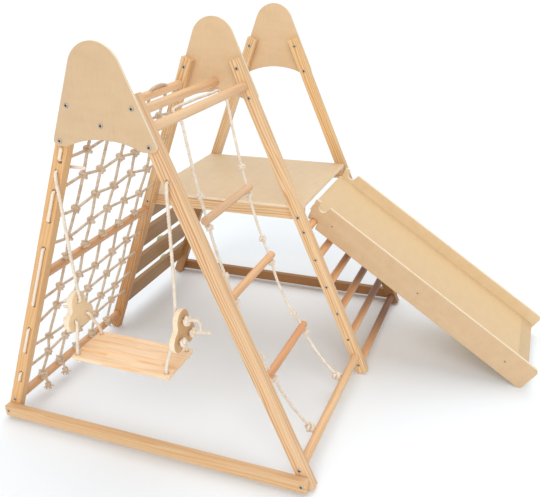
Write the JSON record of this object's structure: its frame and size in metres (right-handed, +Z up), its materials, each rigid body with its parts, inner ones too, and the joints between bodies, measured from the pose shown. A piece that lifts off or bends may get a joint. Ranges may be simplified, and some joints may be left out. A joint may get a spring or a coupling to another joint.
{
  "type": "indoor climbing frame",
  "caption": "Wooden indoor climbing frame for small children: three A-frames with a rope net, rope ladder, plank swing, platform, climbing wall and hook-on slide.",
  "frame": {"origin": "on the floor, under the middle of the whole set's bounding box", "axes": "+X across the frames towards the slide's low end, +Y along the set from the swing's frame to the platform's far frame, +Z up"},
  "size_m": [1.6458, 1.2816, 1.217],
  "materials": {
    "pine": "clear satin lacquer on solid pine",
    "plywood": "clear satin lacquer on birch plywood",
    "dowel": "clear satin lacquer on beech",
    "board": "clear satin lacquer on plywood",
    "swing_wood": "clear satin lacquer on finger-jointed pine",
    "rope": "cream laid rope",
    "net_rope": "tan laid rope",
    "hold": "matt resin",
    "steel": "zinc-plated"
  },
  "bodies": {
    "frame": {"base_bar_a": "pine", "base_bar_c": "pine", "base_bolt_a_left": "steel", "base_bolt_a_right": "steel", "base_bolt_c_left": "steel", "base_bolt_c_right": "steel", "climbing_board_1": "board", "climbing_board_2": "board", "climbing_board_3": "board", "climbing_board_4": "board", "climbing_hold_1": "hold", "climbing_hold_2": "hold", "climbing_hold_3": "hold", "climbing_hold_4": "hold", "climbing_net": "net_rope", "hook_rung": "dowel", "ladder_bottom_dowel": "dowel", "ladder_rope": "rope", "ladder_rung_1": "dowel", "ladder_rung_2": "dowel", "ladder_rung_3": "dowel", "ladder_tie_back": "rope", "ladder_tie_front": "rope", "leg_a_left": "pine", "leg_a_right": "pine", "leg_b_left": "pine", "leg_b_right": "pine", "leg_c_left": "pine", "leg_c_right": "pine", "monkey_bar_centre": "dowel", "monkey_bar_left": "dowel", "monkey_bar_right": "dowel", "net_bottom_dowel": "dowel", "net_middle_dowel": "dowel", "platform_apron_back": "pine", "platform_apron_front": "pine", "platform_deck": "plywood", "rung_1": "dowel", "rung_2": "dowel", "rung_3": "dowel", "rung_4": "dowel", "rung_5": "dowel", "swing_anchor_left": "rope", "swing_anchor_right": "rope", "top_panel_a": "plywood", "top_panel_b": "plywood", "top_panel_c": "plywood"},
    "swing": {"seat_rope_back_left": "rope", "seat_rope_back_right": "rope", "seat_rope_front_left": "rope", "seat_rope_front_right": "rope", "swing_rope_left": "rope", "swing_rope_right": "rope", "swing_seat": "swing_wood", "swing_side_left": "plywood", "swing_side_right": "plywood"},
    "slide": {"slide_bed": "plywood", "slide_end_strip": "plywood", "slide_side_far": "plywood", "slide_side_near": "plywood"}
  },
  "joints": [
    {"name": "swing_hinge", "type": "hinge", "parent": "frame", "child": "swing", "pos_m": [0, -0.5688, 0.815], "axis": [1, 0, 0], "range_deg": [-40, 40]},
    {"name": "slide_lift", "type": "hinge", "parent": "frame", "child": "slide", "pos_m": [0.03191, 0.3312, 0.526], "axis": [0, -1, 0], "range_deg": [0, 16]}
  ]
}
